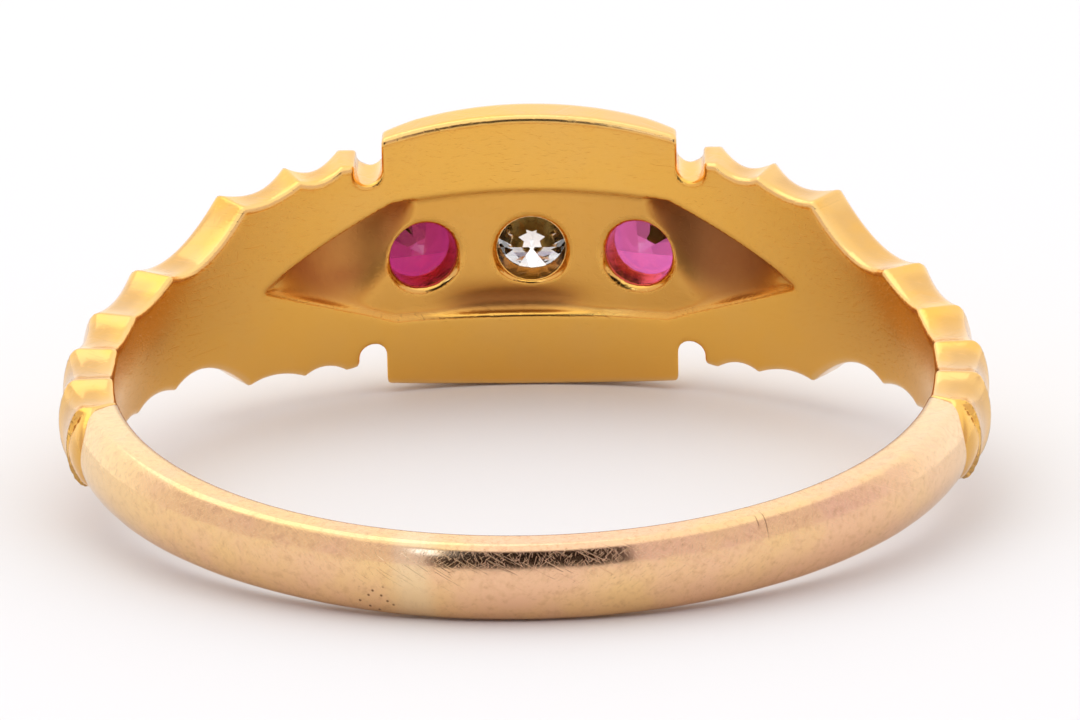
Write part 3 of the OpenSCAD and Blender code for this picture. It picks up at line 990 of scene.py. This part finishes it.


# worn reddish gold: slow patches of yellow and pink, fine speckles, scratches at several slants, a few
# pits and nicks, a pale joint, ends painted paler as a reflection, a painted shade line along the inner
# edge and painted shade on the lower side
def roseGold():
    look, most, bump = roseGoldLook, roseGoldLook["most"], roseGoldLook["bump"]
    material, tree, shader = newMaterial("roseGold")
    surface = addNode(tree, "ShaderNodeUVMap", uv_map="surface").outputs["UV"]
    place = addNode(tree, "ShaderNodeTexCoord").outputs["Object"]
    axes = addNode(tree, "ShaderNodeSeparateXYZ", {0: surface}).outputs
    patches = noiseNode(tree, place, **look["patchNoise"])
    tone = tint(tree, (*look["yellow"], 1), smoothRange(tree, patches, *look["patches"]), look["pink"])
    grain = noiseNode(tree, place, **look["speckleNoise"])
    speckle = smoothRange(tree, grain, *look["speckles"], 0.0, most["speckle"])
    tone = tint(tree, tone, speckle, look["speckle"])
    ragged = multiplied(tree, mathNode(tree, "SUBTRACT", patches, 0.5), look["jointRagged"])
    middle, half = look["joint"]
    fromJoint = distanceFrom(tree, added(tree, axes["X"], ragged), middle)
    joint = smoothRange(tree, fromJoint, look["jointFull"] * half, half, most["joint"], 0.0)
    # both ends painted paler as a reflection, while the joint's paleness is its own
    ends = smoothRange(tree, mathNode(tree, "ABSOLUTE", axes["X"]), *look["ends"], 0.0, most["ends"])
    tone = tint(tree, tone, mathNode(tree, "MAXIMUM", joint, ends), look["pale"])
    fromCrown = mathNode(tree, "ABSOLUTE", axes["Y"])
    # a thin painted shade line along the inner edge
    innerEdge = smoothRange(tree, fromCrown, *look["innerEdge"], 0.0, most["innerEdge"])
    innerEdge = multiplied(tree, innerEdge, smoothRange(tree, fromCrown, *look["innerWall"], 1.0, 0.0))
    tone = tint(tree, tone, innerEdge, look["edge"])
    # painted shade on the lower side, in the speckles' colour
    paintedLowerShade = smoothRange(tree, axes["Y"], *look["paintedLowerShade"], 0.0, most["paintedLowerShade"])
    tone = tint(tree, tone, paintedLowerShade, look["speckle"])
    cells = {"Vector": surface, "Scale": look["pitCells"]}
    fromCell = addNode(tree, "ShaderNodeTexVoronoi", cells, voronoi_dimensions="2D").outputs["Distance"]
    span = {0: surface, 1: (*look["pits"], 0.0)}
    fromPits = addNode(tree, "ShaderNodeVectorMath", span, operation="DISTANCE").outputs["Value"]
    pit = smoothRange(tree, fromCell, *look["pitSize"], 1.0, 0.0)
    pit = multiplied(tree, pit, smoothRange(tree, fromPits, *look["pitReach"], 1.0, 0.0))
    pit = largestOf(tree, [pit] + [nickMask(tree, axes, *nick) for nick in look["nicks"]])
    tone = tint(tree, tone, multiplied(tree, pit, most["dirt"]), look["dirt"])
    tree.links.new(tone, shader.inputs["Base Color"])
    roughness = smoothRange(tree, patches, *look["roughPatches"], *look["roughness"])
    roughness = added(tree, roughness, multiplied(tree, speckle, look["speckleRoughness"]))
    tree.links.new(roughness, shader.inputs["Roughness"])
    height = multiplied(tree, scratchLines(tree, surface, look["scratches"]), -1.0)
    height = added(tree, height, multiplied(tree, pit, bump["pits"]))
    height = added(tree, height, multiplied(tree, grain, bump["grain"]))
    addBump(tree, shader, height, bump)
    shader.inputs["Metallic"].default_value = 1.0
    return material


yellowGoldLook = {
    # the recess, recess-shadow and scallop colours are painted shade, and the rim colour is a painted
    # highlight
    "bright": (0.77, 0.47, 0.165), "deep": (0.87, 0.485, 0.095), "recess": (0.5, 0.195, 0.055),
    "paintedRecessShadow": (0.24, 0.1, 0.035), "paintedScallopShade": (0.52, 0.28, 0.1), "rim": (0.86, 0.6, 0.28),
    # the patches' noise, and the parts of it that turn bright to deep and a weak painted shade to a full
    # one
    "patchNoise": {"Scale": 420.0, "Detail": 4.0, "Roughness": 0.6},
    "patches": (0.35, 0.65), "paintedShadePatches": (0.2, 0.6, 0.6, 1.0),
    # the greatest share of each tint
    "most": {"inside": 0.8, "paintedRecessShadow": 0.6, "paintedScallopShade": 0.4, "rim": 0.6},
    "roughness": {"outside": 0.13, "inside": 0.2, "recess": 0.45, "holes": 0.1, "patches": 0.06},
    # each row of scratches: slant in radians, scale for each metre, stretch, and the least peak that shows
    "scratches": ((0.5, 650.0, 18.0, 0.66), (-0.9, 600.0, 18.0, 0.66)),
    "grainNoise": {"Scale": 6000.0, "Detail": 3.0},
    "bump": {"grain": 0.8, "strength": 0.6, "depth": 0.000003},
}


# yellow cast gold: smooth towards the finger and polished outside, with painted shade in the recess and in
# the hollows of the scallops, and painted highlights on the rims
def yellowGold():
    look, most, rough = yellowGoldLook, yellowGoldLook["most"], yellowGoldLook["roughness"]
    material, tree, shader = newMaterial("yellowGold")
    place = addNode(tree, "ShaderNodeTexCoord").outputs["Object"]
    marks = {
        name: addNode(tree, "ShaderNodeAttribute", attribute_name=name).outputs["Fac"]
        for name in ("inside", "recess", "paintedRecessShadow", "holes", "paintedScallopShade", "rim")
    }
    patches = noiseNode(tree, place, **look["patchNoise"])
    tone = tint(tree, (*look["bright"], 1), smoothRange(tree, patches, *look["patches"]), look["deep"])
    tone = tint(tree, tone, multiplied(tree, marks["inside"], most["inside"]), look["deep"])
    # painted shade in the recess, patchy, deeper where the recess is deeper, and kept out of the stones'
    # holes
    paintedShadeShare = multiplied(tree, marks["recess"], smoothRange(tree, patches, *look["paintedShadePatches"]))
    paintedShadeShare = multiplied(tree, paintedShadeShare, mathNode(tree, "SUBTRACT", 1.0, marks["holes"]))
    tone = tint(tree, tone, paintedShadeShare, look["recess"])
    # painted shadow in the recess, painted shade in the scallops' hollows and a painted highlight on the
    # rims
    for name in ("paintedRecessShadow", "paintedScallopShade", "rim"):
        tone = tint(tree, tone, multiplied(tree, marks[name], most[name]), look[name])
    tree.links.new(tone, shader.inputs["Base Color"])
    roughness = mixFloat(tree, marks["inside"], rough["outside"], rough["inside"])
    for name in ("recess", "holes"):
        roughness = mixFloat(tree, marks[name], roughness, rough[name])
    roughness = added(tree, roughness, multiplied(tree, patches, rough["patches"]))
    tree.links.new(roughness, shader.inputs["Roughness"])
    grain = noiseNode(tree, place, **look["grainNoise"])
    height = multiplied(tree, scratchLines(tree, place, look["scratches"]), -1.0)
    height = added(tree, height, multiplied(tree, grain, look["bump"]["grain"]))
    addBump(tree, shader, height, look["bump"])
    shader.inputs["Metallic"].default_value = 1.0
    return material


stoneLooks = {
    "ruby_left": {"name": "rubyDeep", "color": (0.41, 0.03, 0.15), "ior": 1.77},
    "diamond": {"name": "diamondClear", "color": (0.99, 0.99, 1.0), "ior": 2.42},
    "ruby_right": {"name": "rubyPink", "color": (0.66, 0.13, 0.39), "ior": 1.77},
}


# clear cut stone: a polished surface that bends light by the stone's own index
def stoneMaterial(look):
    material, _, shader = newMaterial(look["name"])
    shader.inputs["Base Color"].default_value = (*look["color"], 1)
    shader.inputs["Roughness"].default_value = 0.0
    shader.inputs["IOR"].default_value = look["ior"]
    shader.inputs["Transmission Weight"].default_value = 1.0
    return material


# a material stands in every slot of the piece
def dress(piece, material):
    slots = piece.data.materials
    if not slots:
        slots.append(material)
    for index in range(len(slots)):
        slots[index] = material


dress(shankPiece, roseGold())
dress(settingPiece, yellowGold())
for node, look in stoneLooks.items():
    dress(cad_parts[node], stoneMaterial(look))
print("finishes made")
